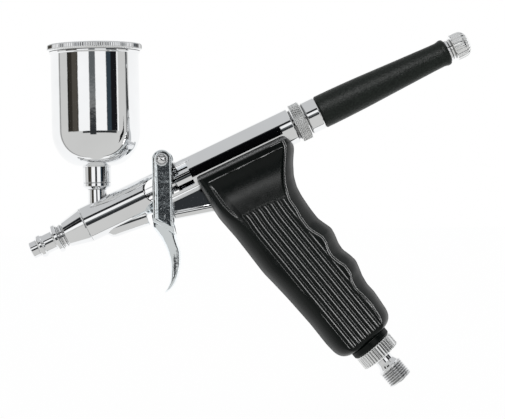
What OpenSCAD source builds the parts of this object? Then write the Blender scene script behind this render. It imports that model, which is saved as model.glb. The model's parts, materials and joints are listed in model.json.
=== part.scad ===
// Trigger-type, gravity-feed airbrush gun with a moulded pistol grip.
// Millimetres, +Z up. The origin is the middle of the hose thread, on its axis.
// The paint cup's axis is vertical, the nose points to -X, and -Y is the near side.

/* [Attitude] */
// Rise of the barrel towards its rear, degrees
barrel_rise = 24.5; // [24:0.25:25]
// Angle from the barrel's rearward axis down to the grip axis, degrees
grip_angle = 75.5; // [75:0.25:76]

/* [Barrel] */
// Outer radius of the front half of the barrel
barrel_r = 6.75; // [6.7:0.05:6.85]
// Outer radius of the rear half of the barrel
barrel_rear_r = 6.7; // [6.6:0.05:6.75]
// Radius of the long bore that the needle sleeve runs in
barrel_bore_r = 4.65; // [4.64:0.01:4.7]
// Distance from the tip to the barrel's front end
barrel_front = 22.6; // [22.6:0.1:22.8]
// Distance from the tip to the barrel's rear end
barrel_end = 107.3; // [107:0.1:107.3]
// Front end of the side window
window_x0 = 47.0; // [46.8:0.1:47.5]
// Rear end of the side window
window_x1 = 65.5; // [64:0.5:66]

/* [Cup] */
// Outer radius of the paint cup
cup_r = 16.3; // [15.8:0.1:16.4]
// Height of the cup's rim above the barrel axis
cup_top = 61.9; // [60:0.1:61.9]
// Wall thickness of the cup
cup_wall = 0.7; // [0.6:0.05:0.7]
// Outer radius of the cup lid
lid_r = 17.5; // [17.2:0.1:18]

/* [Trigger] */
// Distance from the tip to the trigger pivot
pivot_x = 58.3; // [58.1:0.1:58.5]
// Height of the trigger pivot above the barrel axis
pivot_z = 9.3; // [9.1:0.1:9.4]
// Width of a trigger arm, seen from the side
arm_w = 7.2; // [6.2:0.1:7.4]
// Thickness of each trigger arm
arm_t = 2.0; // [1.6:0.1:2.2]
// Gap between the two trigger arms
arm_gap = 14.2; // [14.1:0.1:14.4]

/* [Grip] */
// Half thickness of the grip at its middle
grip_half = 11.0; // [10.6:0.1:11.5]
// Length of the moulded grip along its axis, below the barrel axis
grip_len = 86.3; // [86:0.1:86.3]
// Outer radius of the air tube inside the grip
grip_tube_r = 3.6; // [3.5:0.05:3.6]

/* [Handle] */
// Largest radius of the handle sleeve
handle_r = 6.2; // [6.1:0.05:6.3]
// Distance from the tip to the rear end of the handle sleeve
handle_end = 170.4; // [170:0.1:170.4]
// Radius of the stop knob
knob_r = 5.0; // [4.6:0.1:5.2]

/* [Hose joint] */
// Major radius of the hose thread
thread_r = 4.865; // [4.8:0.005:4.9]

/* [Hidden] */
$fn = 96;

clearance = 0.05;
contact_gap = 0.02;            // left between the trigger and what it pushes

// Axis crossings, from the tip along the barrel
grip_x = 76.2;
cup_x = 27.2;
// Along the grip axis, from the barrel axis down
thread_start = 99.0;
thread_end = 105.0;

// Frames. Each puts +X along the named axis; in the grip frame +Z points to the rear.
grip_fall = grip_angle - barrel_rise;
grip_dir = [cos(grip_fall), 0, -sin(grip_fall)];
barrel_dir = [cos(barrel_rise), 0, sin(barrel_rise)];
tip = -(thread_start + thread_end) / 2 * grip_dir - grip_x * barrel_dir;

valve_x = 53.6;                // front face of the valve casing
valve_z = -10.72;
valve_drop = 14.5;             // fall of the valve axis towards the rear, degrees

module on_barrel() { translate(tip) rotate([0, -barrel_rise, 0]) children(); }
module on_grip() { on_barrel() translate([grip_x, 0, 0]) rotate([0, grip_angle, 0]) children(); }
module on_valve() {
    on_barrel() translate([valve_x, 0, valve_z]) rotate([0, valve_drop, 0]) children();
}
// These two keep +Z vertical.
module on_cup() { on_barrel() translate([cup_x, 0, 0]) rotate([0, barrel_rise, 0]) children(); }
module on_pivot() {
    on_barrel() translate([pivot_x, 0, pivot_z]) rotate([0, barrel_rise, 0]) children();
}

// A part turned about +X from a list of [radius, x] points. All turned profiles use this order.
module turned(profile) { rotate([0, 90, 0]) rotate_extrude() polygon(profile); }
module tube(x0, x1, outer, inner) {
    turned([[inner, x0], [outer, x0], [outer, x1], [inner, x1]]);
}
module rod(x0, x1, radius) {
    translate([x0, 0, 0]) rotate([0, 90, 0]) cylinder(h = x1 - x0, r = radius);
}
module cross_rod(y0, y1, radius) {
    translate([0, y1, 0]) rotate([90, 0, 0]) cylinder(h = y1 - y0, r = radius);
}
module plate(thickness) {
    rotate([90, 0, 0]) linear_extrude(height = thickness, center = true) children();
}
// Slot cutter centred on the X axis, starting at x.
module slot(x, size) { translate([x, -size[1] / 2, -size[2] / 2]) cube(size); }

// A closed skin through a list of rings that all have the same number of points.
module loft(rings) {
    count = len(rings[0]);
    last = len(rings) - 1;
    sides = [for (i = [0 : last - 1]) for (j = [0 : count - 1])
        let (near = i * count, far = near + count, next = (j + 1) % count)
        each [[near + j, near + next, far + j], [near + next, far + next, far + j]]];
    first_cap = [[for (j = [count - 1 : -1 : 0]) j]];
    last_cap = [[for (j = [0 : count - 1]) last * count + j]];
    polyhedron(points = [for (ring = rings) each ring],
               faces = concat(sides, first_cap, last_cap), convexity = 8);
}

// Power that keeps the sign, for rounded-rectangle (superellipse) sections.
function signed_pow(value, power) = sign(value) * pow(abs(value), power);

// A round-wire compression spring along +X with closed ends.
module coil(x0, x1, mean_r, wire_r, turns) {
    steps_per_turn = 18;
    wire_sides = 6;
    closed_turns = 0.75;             // at each end
    closed_pitch = wire_r * 2 * 0.9; // below the wire's diameter, so these turns fuse
    start = x0 + wire_r;
    open_length = x1 - wire_r - start - 2 * closed_pitch * closed_turns;
    loft([for (i = [0 : steps_per_turn * (turns + 1.5)])
        let (angle = i * 360 / steps_per_turn,
             turn = i / steps_per_turn,
             opened = min(1, max(0, (turn - closed_turns) / turns)),
             x = start + closed_pitch * min(turn, closed_turns) + opened * open_length
                 + closed_pitch * max(0, turn - closed_turns - turns))
        [for (j = [0 : wire_sides - 1])
            let (around = -j * 360 / wire_sides, radius = mean_r + wire_r * cos(around))
            [x + wire_r * sin(around), radius * cos(angle), radius * sin(angle)]]]);
}

// ---- nose ----
nozzle_seat = 9.5;             // rear face of the nozzle's flange
nozzle_end = 13;
head_end = 25.0;
head_seal_end = 25.6;
spigot_r = 4.9;                // rear spigot of the head, inside the barrel

module needle_cap() color("#c9cdd0") on_barrel()
    turned([[2.2, 0], [2.9, 0], [3.15, 0.3], [3.15, 3.1], [2.6, 3.1], [2.6, 4.65],
            [1.9, 4.65], [1.9, 0.8]]);

module air_cap() color("#d3d6d8") on_barrel()
    turned([[2.62, 3.1], [4.0, 3.1], [4.3, 3.5], [4.3, 4.9], [3.8, 5.3], [3.6, 5.6], [3.6, 9.6],
            [4.6, 9.8], [5.4, 10.2], [5.4, 11.2], [5.1, 11.5], [2.6, 11.5], [2.6, 6.2],
            [0.9, 5.6], [0.9, 4.7], [2.62, 4.7]]);

module nozzle() color("#c2a25a") on_barrel()
    turned([[0.33, 3.6], [0.5, 3.6], [1.35, 8.3], [1.9, 8.3], [1.9, nozzle_seat],
            [1.2, nozzle_seat], [1.2, nozzle_end], [0.8, nozzle_end], [0.8, 9.0]]);

module head() color("#d3d6d8") on_barrel()
    turned([[1.22, nozzle_seat], [2.55, nozzle_seat], [2.55, 11.5], [4.4, 11.5], [4.4, 12.0],
            [4.05, 12.2], [4.05, 12.5], [4.5, 12.7], [4.5, 13.3], [4.1, 13.5], [4.1, 13.9],
            [4.9, 14.2], [6.7, barrel_front - 0.3], [6.5, barrel_front],
            [spigot_r, barrel_front], [spigot_r, head_end], [0.85, head_end],
            [0.85, nozzle_end], [1.22, nozzle_end]]);

module head_seal() color("#f2f0e8") on_barrel() tube(head_end, head_seal_end, spigot_r, 1.5);

// ---- barrel: turned body with its cup stem, trigger lug, front boss and web ----
stem_top = 11.0;               // heights up the cup axis
cup_seal_z = 7;
pivot_screw_r = 1.6;
lug_r = 3.0;
lug_half = 6.9;
lug_base = 4.2;
web_t = 3.2;
casing_neck_r = 2.0;
casing_body_r = 4.6;
casing_step = 18;              // where the casing widens, along the valve axis

module barrel_body() {
    turned([[0, barrel_front], [barrel_r - 0.25, barrel_front], [barrel_r, barrel_front + 0.25],
            [barrel_r, window_x1], [barrel_rear_r, window_x1], [barrel_rear_r, barrel_end - 0.3],
            [barrel_rear_r - 0.3, barrel_end], [0, barrel_end]]);
}
module barrel_lug() {
    translate([pivot_x, 0, pivot_z]) cross_rod(-lug_half, lug_half, lug_r);
    translate([pivot_x - lug_r, -lug_half, lug_base])
        cube([2 * lug_r, 2 * lug_half, pivot_z - lug_base]);
}
// Round-nosed boss along the underside.
module barrel_boss() {
    translate([28.1, 0, -5.03]) rotate([0, 6.4, 0])
        turned([[0, 0], [1.4, 0.15], [2.5, 0.8], [3.2, 1.8], [3.55, 3.2], [3.55, 15.9],
                [3.3, 16.2], [0, 16.2]]);
}
module barrel_web() {
    plate(web_t) polygon([[54.2, -5.4], [78, -5.4], [78, -17.0], [54.2, -10.87]]);
}
module casing_outside() {
    on_valve() {
        rod(-6, casing_step, casing_neck_r);
        rod(casing_step, 40, casing_body_r);
    }
}
module barrel() color("#d6d9db") difference() {
    union() {
        on_barrel() {
            barrel_body();
            barrel_lug();
            barrel_boss();
            barrel_web();
        }
        on_cup() cylinder(h = stem_top, r = 3.4);
    }
    casing_outside();
    // Bores from front to rear, then the window and the pivot hole.
    on_barrel() {
        rod(barrel_front - 1, head_seal_end, spigot_r + clearance);
        rod(head_end, 36, 2.0);
        rod(35, 42, 0.9);
        rod(41, 48, 2.0);
        rod(window_x0, 104, barrel_bore_r);
        rod(103, barrel_end + 1, 5.2);
        translate([window_x0, -12, -3.9]) cube([window_x1 - window_x0, 24, 8.9]);
        translate([pivot_x, 0, pivot_z]) cross_rod(-8, 8, pivot_screw_r);
    }
    on_cup() cylinder(h = 9, r = 1.6);
    on_cup() translate([0, 0, cup_seal_z]) cylinder(h = 6, r = 2.62);
}

// ---- cup: profiles are [radius, height] ----
cup_base = 7.6;
cup_neck_r = 2.6;
lock_ring_top = 13.4;
foot_r = 5.2;
throat_r = 4.4;
bowl_low = 19.6;
bowl_high = 32.8;
bowl_depth = bowl_high - bowl_low;
cup_inner_r = cup_r - cup_wall;
lid_plug_r = cup_inner_r - 0.06;
lid_skirt_r = cup_inner_r - 0.7;

// Quarter ellipse of the bowl, from low_r at angle 0 out to high_r at angle 90.
function bowl_arc(low_r, high_r, high, depth, angles) =
    [for (a = angles) [low_r + (high_r - low_r) * sin(a), high - depth * cos(a)]];

module cup_seal() color("#f2f0e8") on_cup()
    rotate_extrude() polygon([[1.6, cup_seal_z], [cup_neck_r, cup_seal_z],
                              [cup_neck_r, cup_base], [1.6, cup_base]]);

module cup_lock_ring() color("#d3d6d8") on_cup()
    rotate_extrude() polygon([[2.64, stem_top], [3.7, stem_top], [5.2, 12.2], [5.2, 13.1],
                              [4.9, lock_ring_top], [2.64, lock_ring_top]]);

module cup() color("#d9dcde") on_cup() rotate_extrude() polygon(concat(
    [[1.5, cup_base], [cup_neck_r, cup_base], [cup_neck_r, lock_ring_top],
     [5.0, lock_ring_top], [foot_r, 13.6]],
    bowl_arc(foot_r, cup_r, bowl_high, bowl_depth, [0 : 6 : 90]),
    [[cup_r, cup_top - 1.0], [cup_r + 0.5, cup_top - 0.6], [cup_r + 0.5, cup_top - 0.2],
     [cup_r + 0.3, cup_top], [cup_inner_r, cup_top]],
    bowl_arc(throat_r, cup_inner_r, bowl_high + 0.4, bowl_depth - 0.2, [90 : -6 : 0]),
    [[1.5, 17.4]]));

// Heights are listed for a rim at 61.9.
module cup_lid() color("#d9dcde") on_cup() translate([0, 0, cup_top - 61.9]) rotate_extrude()
    polygon([[0.5, 64.5], [lid_r - 0.6, 64.5], [lid_r, 64.1], [lid_r, 62.6], [lid_r - 0.4, 62.2],
             [16.8, 61.95], [lid_plug_r, 61.95], [lid_plug_r, 58.6],
             [lid_skirt_r, 58.6], [lid_skirt_r, 63.6], [0.5, 63.6]]);

// ---- needle train ----
packing_r = 1.97;
packing_end = 43.4;
needle_r = 0.65;
sleeve_x = 57.0;               // front face of the needle sleeve
sleeve_step = 74;              // where the sleeve narrows
sleeve_tail_r = 2.6;

module needle_packing() color("#f2f0e8") on_barrel() tube(42, packing_end, packing_r, 0.68);

module packing_screw() color("#c2a25a") on_barrel() difference() {
    tube(packing_end, 46.6, packing_r, 0.75);
    slot(46.0, [1, 6, 0.6]);
}

module needle() color("#b9bdc0") on_barrel()
    turned([[0, 2.2], [0.06, 2.3], [needle_r, 13], [needle_r, 118], [0.45, 118.4], [0, 118.4]]);

module needle_sleeve() color("#cfd2d4") on_barrel() difference() {
    turned([[0.66, sleeve_x], [2.9, sleeve_x], [3.2, sleeve_x + 0.3], [3.2, 59.0], [4.3, 59.0],
            [4.6, 59.3], [4.6, sleeve_step], [sleeve_tail_r, sleeve_step],
            [sleeve_tail_r, 102.6], [2.2, 103.4], [0.66, 103.4]]);
    slot(99, [5, 8, 0.5]);
}

module chuck_nut() color("#c2a25a") on_barrel()
    turned([[2.62, 98.6], [3.1, 98.6], [3.4, 98.9], [3.4, 105.6], [3.1, 106], [0.75, 106],
            [0.75, 104], [2.62, 104]]);

module needle_spring() color("#aeb2b5") on_barrel()
    coil(x0 = sleeve_step + 0.3, x1 = 87.8, mean_r = 3.6, wire_r = 0.4, turns = 6);

module spring_case() color("#c2a25a") on_barrel()
    turned([[2.7, 88], [4.3, 88], [4.64, 88.4], [4.64, 95.6], [4.3, 96], [2.7, 96]]);

// ---- trigger ----
arms_half = arm_gap / 2 + arm_t;
screw_seat = arms_half + 0.05; // inner face of the screw head and nut, from the middle
screw_head_r = 2.4;
arm_drop = 24.0;               // length of an arm below the pivot
inward_reach = arm_gap / 2 + 0.5; // cross pieces run this far, into the arms
contact_s = -5.78;             // where the valve pin meets the bridge, along the valve axis
bridge_t = 2.2;
sleeve_boss_r = 1.2;           // bosses that push the needle sleeve
sleeve_boss_y = 1.2;           // their inner ends

// Finger piece stations, from the pivot: front edge [x, z], rear edge [x, z], half width.
finger = [
    [[-3.7, -23.4], [3.26, -23.4], arms_half],
    [[-4.2, -24.8], [3.4, -24.6], arms_half - 0.2],
    [[-2.2, -27.4], [4.2, -27.2], 7.6],
    [[-0.4, -30.3], [4.9, -30.3], 6.2],
    [[1.1, -33.7], [5.8, -33.3], 5.3],
    [[2.0, -37.0], [6.0, -36.3], 4.9],
    [[2.2, -40.7], [5.8, -39.2], 4.7],
    [[2.0, -44.4], [4.9, -42.9], 4.6],
    [[1.2, -46.6], [3.8, -45.5], 4.3],
    [[0.3, -48.2], [2.3, -47.4], 3.6],
    [[-0.3, -49.0], [0.5, -48.9], 2.2]];
module finger_piece() {
    loft([for (station = finger)
        let (middle = (station[0] + station[1]) / 2, half = (station[1] - station[0]) / 2)
        [for (angle = [7.5 : 15 : 359])
            let (edge = middle + half * signed_pow(cos(angle), 0.6))
            [edge[0], station[2] * signed_pow(sin(angle), 0.6), edge[1]]]]);
}
module trigger() color("#cfd3d6") difference() {
    union() {
        on_pivot() {
            for (side = [-1, 1]) translate([0, side * (arm_gap + arm_t) / 2, 0])
                plate(arm_t) union() {
                    circle(r = arm_w / 2);
                    translate([-arm_w / 2, -arm_drop]) square([arm_w, arm_drop]);
                }
            finger_piece();
        }
        // Bridge that pushes the valve pin.
        on_valve() translate([contact_s - bridge_t, -inward_reach, -3.4])
            cube([bridge_t, 2 * inward_reach, 4.9]);
        on_barrel() translate([sleeve_x - contact_gap - sleeve_boss_r, 0, 0]) {
            cross_rod(-inward_reach, -sleeve_boss_y, sleeve_boss_r);
            cross_rod(sleeve_boss_y, inward_reach, sleeve_boss_r);
        }
    }
    on_pivot() cross_rod(-12, 12, pivot_screw_r + clearance);
}

// Slotted head on the near side.
module trigger_screw() color("#b9bdc0") on_pivot() difference() {
    union() {
        cross_rod(-screw_seat - 0.9, -screw_seat, screw_head_r);
        cross_rod(-screw_seat - 0.1, screw_seat + 1.0, pivot_screw_r);
    }
    translate([-3, -screw_seat - 1.2, -0.3]) cube([6, 0.8, 0.6]);
}

module trigger_nut() color("#b9bdc0") on_pivot() difference() {
    cross_rod(screw_seat, screw_seat + 1.4, screw_head_r);
    cross_rod(screw_seat - 1, screw_seat + 3, pivot_screw_r);
}

// ---- rear ----
collar_r = 5.6;
lock_ring_bore = collar_r + clearance;
core_x = 113.5;                // front end of the handle core
core_front_r = 4.36;
core_r = 3.55;
handle_fit = 0.02;

module lock_ring() color("#cfd2d4") on_barrel()
    turned([[lock_ring_bore, 108], [7.0, 108], [7.3, 108.3], [7.3, 112.2], [7.0, 112.5],
            [lock_ring_bore, 112.5]]);

module rear_collar() color("#d3d6d8") on_barrel()
    turned([[4.0, 103.2], [5.15, 103.2], [5.15, barrel_end], [collar_r, barrel_end],
            [collar_r, 112.9], [5.9, 112.9], [6.2, 113.2], [6.2, 117.9], [5.9, 118.2],
            [4.4, 118.2], [4.4, core_x], [4.0, core_x]]);

module handle_core() color("#c9ccce") on_barrel()
    turned([[3.0, core_x], [core_front_r, core_x], [core_front_r, 120], [core_r, 120],
            [core_r, handle_end], [3.8, handle_end], [4.0, handle_end + 0.2], [4.0, 171.4],
            [3.8, 171.6], [2.55, 171.6], [2.55, 155], [3.0, 155]]);

module handle() color("#2a2e30") on_barrel()
    turned([[core_front_r + handle_fit, 118.4], [5.9, 118.4], [handle_r - 0.05, 118.8],
            [handle_r, 121], [handle_r - 0.06, 126], [handle_r - 0.22, 133],
            [handle_r - 0.45, 139], [handle_r - 0.72, 145], [5.2, 152], [4.92, 159],
            [4.68, 165], [4.64, 167.6], [4.82, 168.6], [5.0, 169.3], [4.9, 170.0],
            [4.5, handle_end], [core_r + handle_fit, handle_end],
            [core_r + handle_fit, 120.05], [core_front_r + handle_fit, 120.05]]);

module stop_knob() color("#cfd2d4") on_barrel()
    turned([[0, 122], [1.2, 122], [1.2, 158], [2.5, 158.6], [2.5, 162.9], [2.0, 162.9],
            [2.0, 164.6], [2.5, 164.6], [2.5, 171.75], [3.8, 171.75], [4.0, 171.95],
            [4.0, 172.4], [3.6, 172.7], [knob_r - 0.3, 172.9], [knob_r, 173.3], [knob_r, 176.4],
            [knob_r - 0.4, 177.8], [knob_r - 1.4, 179.0], [knob_r - 3, 179.6], [0, 179.8]]);

module knob_o_ring() color("#202020") on_barrel() tube(163.0, 164.5, 2.53, 2.03);

// ---- air valve ----
valve_pin_r = 1.1;
pin_bore_r = valve_pin_r + clearance;
valve_seat = 22.5;             // front face of the valve seal
casing_end = 36;
valve_grip_w = 18.33;          // grip axis position where the valve axis crosses it

module valve_casing() color("#d3d6d8") difference() {
    on_valve() turned([[pin_bore_r, 0], [1.85, 0], [casing_neck_r, 0.15],
        [casing_neck_r, casing_step], [casing_body_r, casing_step], [casing_body_r, casing_end],
        [3.25, casing_end], [3.25, valve_seat], [2.4, valve_seat], [2.4, 20], [pin_bore_r, 20]]);
    on_grip() rod(valve_grip_w, 30, 2.0);
}

module valve_pin() color("#b9bdc0") on_valve() turned(concat(
    [for (a = [0 : 15 : 90])
        [valve_pin_r * sin(a), contact_s + contact_gap + valve_pin_r * (1 - cos(a))]],
    [[valve_pin_r, 23.7], [2.4, 23.7], [2.4, 25.6], [1.2, 25.6], [1.2, 27.4], [0, 27.4]]));

module valve_seal() color("#303030") on_valve() tube(valve_seat, 23.68, 3.2, 1.5);

module valve_spring() color("#aeb2b5") on_valve()
    coil(x0 = 25.7, x1 = 32.9, mean_r = 2.3, wire_r = 0.3, turns = 4);

module valve_plug() color("#c2a25a") on_valve() difference() {
    turned([[0, 33], [3.22, 33], [3.22, casing_end], [casing_body_r, casing_end],
            [casing_body_r, 37.0], [4.4, 37.2], [0, 37.2]]);
    slot(36.5, [1, 12, 0.8]);
}

// ---- grip ----
tube_bore_r = grip_tube_r + clearance; // hole that the air tube passes through
spacer_end = 88.9;
tube_end = 91.0;
joint_seal_end = 92.0;

// Grip outline, as [distance along the grip axis, offset from it].
front_z = [[-6, -10.4], [0.8, -10.5], [7.5, -11.6], [11.2, -12.4], [16.7, -13.1], [26, -12.8],
    [33.4, -13.1], [42.6, -13.5], [48.2, -13.1], [55.6, -12.7], [68.5, -12.4], [77.8, -12.7],
    [81.5, -12.0], [84.1, -10.7], [85.5, -9.3], [86.3, -7.6]];
rear_z = [[-6, 25.4], [9, 25.6], [13.4, 25.5], [14.9, 25.0], [18.6, 21.3], [22.3, 18.4],
    [26, 16.6], [29.7, 15.8], [35.2, 15.2], [40, 15.1], [44.5, 16.3], [47.4, 16.2], [51.9, 15.0],
    [54.8, 14.7], [59.3, 15.6], [62.2, 15.3], [66.7, 13.9], [70.4, 13.4], [74.1, 13.5],
    [81.5, 12.5], [84.1, 11.4], [85.5, 10.0], [86.3, 8.0]];
half_y = [[-6, 9.8], [10, 9.8], [25, 10.5], [45, 11.0], [60, 10.8], [75, 10.2], [82, 9.8],
    [84.1, 9.2], [85.5, 8.4], [86.3, 7.4]];
// Distances along the grip axis of the skin's rings
grip_rings = [-6, 4, 9, 11.5, 13.4, 14.9, 16.7, 18.6, 20.4, 22.3, 26, 29.7, 35.2, 40, 44.5, 47.4,
    51.9, 54.8, 59.3, 62.2, 66.7, 70.4, 74.1, 77.8, 81.5, 84.1, 85.5, 86.3];
// Size that the tables are drawn for
table_len = 86.3;
table_half = 11.0;

module grip_solid() {
    loft([for (along = grip_rings)
        let (front = lookup(along, front_z),
             rear = lookup(along, rear_z),
             half = lookup(along, half_y) * grip_half / table_half)
        [for (angle = [5.625 : 11.25 : 360])
            [along * grip_len / table_len,
             half * signed_pow(cos(angle), 0.55),
             (front + rear) / 2 + (rear - front) / 2 * signed_pow(sin(angle), 0.55)]]]);
}
// Cut away above the barrel's lower part, and hollowed for the barrel, web, valve and tube.
module grip() color("#23282a") difference() {
    on_grip() grip_solid();
    on_barrel() translate([40, -30, -3.6]) cube([90, 60, 60]);
    on_barrel() rod(50, 125, barrel_r + clearance);
    on_barrel() translate([50, -web_t / 2 - 0.1, -22]) cube([29, web_t + 0.2, 22]);
    on_valve() rod(0, 20, casing_neck_r + 0.1);
    on_valve() rod(17.5, 37.8, casing_body_r + 0.1);
    on_grip() rod(10, 90, tube_bore_r);
}

module grip_tube() color("#c2a25a") difference() {
    on_grip() turned([[2.2, 20], [grip_tube_r, 20], [grip_tube_r, tube_end], [2.72, tube_end],
                      [2.72, 84], [2.2, 84]]);
    on_valve() rod(10, 45, casing_body_r);
}

module grip_spacer() color("#1d2022") on_grip()
    turned([[tube_bore_r, grip_len], [7.5, grip_len], [7.8, grip_len + 0.3], [7.8, 88.6],
            [7.5, spacer_end], [tube_bore_r, spacer_end]]);

module grip_ring() color("#cfd2d4") on_grip()
    turned([[tube_bore_r, spacer_end], [7.3, spacer_end], [7.7, 89.3], [7.7, 94.0], [7.3, 94.4],
            [5.0, 94.4], [5.0, tube_end], [tube_bore_r, tube_end]]);

module hose_joint() color("#cfd2d4") on_grip()
    turned([[1.9, 84.2], [2.7, 84.2], [2.7, joint_seal_end], [4.9, joint_seal_end], [4.9, 94.3],
            [4.6, 94.6], [3.2, 94.6], [3.2, 97.2], [3.9, 97.6], [4.1, 98.5], [4.4, 98.5],
            [thread_r, thread_start], [thread_r, thread_end], [4.4, 105.5], [1.9, 105.5]]);

module joint_seal() color("#202020") on_grip() tube(tube_end, joint_seal_end, grip_tube_r, 2.74);

needle_cap();
air_cap();
nozzle();
head();
head_seal();
barrel();
cup_seal();
cup_lock_ring();
cup();
cup_lid();
needle_packing();
packing_screw();
needle();
needle_sleeve();
chuck_nut();
needle_spring();
spring_case();
trigger();
trigger_screw();
trigger_nut();
lock_ring();
rear_collar();
handle_core();
handle();
stop_knob();
knob_o_ring();
valve_casing();
valve_pin();
valve_seal();
valve_spring();
valve_plug();
grip();
grip_tube();
grip_spacer();
grip_ring();
hose_joint();
joint_seal();
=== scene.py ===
"""A gravity-fed airbrush with a pistol grip: looks, studio and camera.

The tip is at the left (-X), the handle runs to the right (+X), the cup stands up along +Z and
the grip hangs down. The camera looks along +Y, so -Y is the near side. Pieces are drawn in
millimetres in local frames whose matrices scale them to metres.
"""

import json
import math

import bmesh
import bpy
import numpy as np
from mathutils import Matrix, Vector


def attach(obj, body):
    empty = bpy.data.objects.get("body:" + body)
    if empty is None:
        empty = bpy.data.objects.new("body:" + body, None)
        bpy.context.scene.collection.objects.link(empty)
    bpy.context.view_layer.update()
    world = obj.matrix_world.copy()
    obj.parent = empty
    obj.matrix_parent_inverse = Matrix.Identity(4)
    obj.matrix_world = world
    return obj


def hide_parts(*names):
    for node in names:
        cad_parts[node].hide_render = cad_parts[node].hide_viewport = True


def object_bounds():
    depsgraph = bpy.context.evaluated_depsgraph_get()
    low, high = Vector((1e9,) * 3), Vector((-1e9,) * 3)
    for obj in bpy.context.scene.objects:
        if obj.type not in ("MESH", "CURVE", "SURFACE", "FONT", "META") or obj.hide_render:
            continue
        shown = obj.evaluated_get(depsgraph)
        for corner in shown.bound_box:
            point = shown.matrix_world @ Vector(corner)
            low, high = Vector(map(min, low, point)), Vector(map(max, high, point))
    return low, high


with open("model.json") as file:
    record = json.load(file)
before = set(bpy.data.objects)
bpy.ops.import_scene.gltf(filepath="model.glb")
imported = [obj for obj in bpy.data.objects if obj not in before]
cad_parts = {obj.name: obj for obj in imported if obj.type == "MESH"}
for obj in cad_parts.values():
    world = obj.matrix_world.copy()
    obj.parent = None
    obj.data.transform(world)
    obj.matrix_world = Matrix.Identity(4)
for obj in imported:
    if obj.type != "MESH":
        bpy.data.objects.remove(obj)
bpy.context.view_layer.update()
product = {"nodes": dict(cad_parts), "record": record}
record = product["record"]
scene = bpy.context.scene
MM = 0.001

# ------------------------------------------------------------------ frames
# places along the barrel from the tip, and heights above its axis
PIVOT_X, PIVOT_Z = 58.3, 9.3
GRIP_X = 76.2
VALVE_X, VALVE_Z = 53.6, -10.72
CUP_X = 27.2

joints = {j["name"]: j for j in record["behaviour"]["joints"]}
hose_mount = {m["name"]: m for m in record["mounts"]}["hose_thread"]
barrel_dir = Vector(joints["needle_slide"]["axis"]).normalized()
valve_dir = Vector(joints["valve_slide"]["axis"]).normalized()
grip_dir = Vector(hose_mount["axis"]).normalized()
pivot = Vector(joints["trigger_pull"]["pos_m"])
Y = Vector((0, 1, 0))
barrel_up = barrel_dir.cross(Y).normalized()
tip = pivot - barrel_dir * (PIVOT_X * MM) - barrel_up * (PIVOT_Z * MM)


def frame_from(origin, direction):
    """A matrix in mm: +X along the direction, +Y along world +Y."""
    x = direction.normalized()
    matrix = Matrix((x, Y, x.cross(Y).normalized())).transposed().to_4x4()
    matrix.translation = origin
    return matrix @ Matrix.Scale(MM, 4)


BARREL = frame_from(tip, barrel_dir)
GRIP = frame_from(tip + barrel_dir * (GRIP_X * MM), grip_dir)
VALVE = frame_from(tip + barrel_dir * (VALVE_X * MM) + barrel_up * (VALVE_Z * MM), valve_dir)
CUP = frame_from(tip + barrel_dir * (CUP_X * MM), Vector((1, 0, 0)))
PIVOT = frame_from(pivot, Vector((1, 0, 0)))
# these turn a part made along +X
X_TO_Z = Matrix.Rotation(-math.pi / 2, 4, "Y")
X_TO_Y = Matrix.Rotation(math.pi / 2, 4, "Z")
X_TO_MINUS_Y = Matrix.Rotation(-math.pi / 2, 4, "Z")
CUP_UP = CUP @ X_TO_Z
CUP_IN_BARREL = BARREL.inverted() @ CUP @ X_TO_Z


# ------------------------------------------------------------------ mesh help
def new_object(name, bm):
    mesh = bpy.data.meshes.new(name)
    bm.to_mesh(mesh)
    bm.free()
    ob = bpy.data.objects.new(name, mesh)
    scene.collection.objects.link(ob)
    return ob


def finish_piece(node, bm, mat, place, sharp, body="gun"):
    """The finished look of a CAD node; edges at or over `sharp` degrees stay sharp."""
    bm.transform(place)
    bmesh.ops.recalc_face_normals(bm, faces=bm.faces)
    for face in bm.faces:
        face.smooth = True
    limit = math.radians(sharp)
    for edge in bm.edges:
        if len(edge.link_faces) == 2:
            edge.smooth = edge.calc_face_angle(0.0) < limit
    ob = new_object(node + "_look", bm)
    ob.data.materials.append(mat)
    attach(ob, body)
    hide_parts(node)
    return ob


SUPPORTED_RADIUS = 0.6  # corners up to this radius get a support point beside each end of the arc


def soften(profile, radius, steps=4):
    """Rounds a closed list of (r, x) or (r, x, own radius) points; `steps` per quarter turn.

    Corners on the axis stay as they are.
    """
    out = []
    count = len(profile)
    for i, point in enumerate(profile):
        before, corner, after = (Vector(profile[(i + k) % count][:2]) for k in (-1, 0, 1))
        want = point[2] if len(point) > 2 else radius
        back, ahead = before - corner, after - corner
        shortest = min(back.length, ahead.length)
        if corner.x < 1e-6 or shortest < 1e-6 or want <= 0:
            out.append(tuple(corner))
            continue
        back.normalize()
        ahead.normalize()
        angle = back.angle(ahead)
        if angle > math.radians(176):
            out.append(tuple(corner))
            continue
        setback = min(want / max(1e-6, math.tan(angle / 2)), shortest * 0.42)
        arc_radius = setback * math.tan(angle / 2)
        start, end = corner + back * setback, corner + ahead * setback
        centre = corner + (back + ahead).normalized() * (arc_radius / math.sin(angle / 2))
        support = min(0.08, shortest * 0.05)
        if want <= SUPPORTED_RADIUS:
            out.append(tuple(start + back * support))
        spoke, last = start - centre, end - centre
        total = spoke.angle(last)
        sign = 1 if spoke.x * last.y - spoke.y * last.x > 0 else -1
        pieces = max(2, int(math.ceil(total / math.radians(90.0 / steps))))
        for j in range(pieces + 1):
            turn = sign * total * j / pieces
            cos, sin = math.cos(turn), math.sin(turn)
            out.append((centre.x + spoke.x * cos - spoke.y * sin,
                        centre.y + spoke.x * sin + spoke.y * cos))
        if want <= SUPPORTED_RADIUS:
            out.append(tuple(end + ahead * support))
    return out


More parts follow.
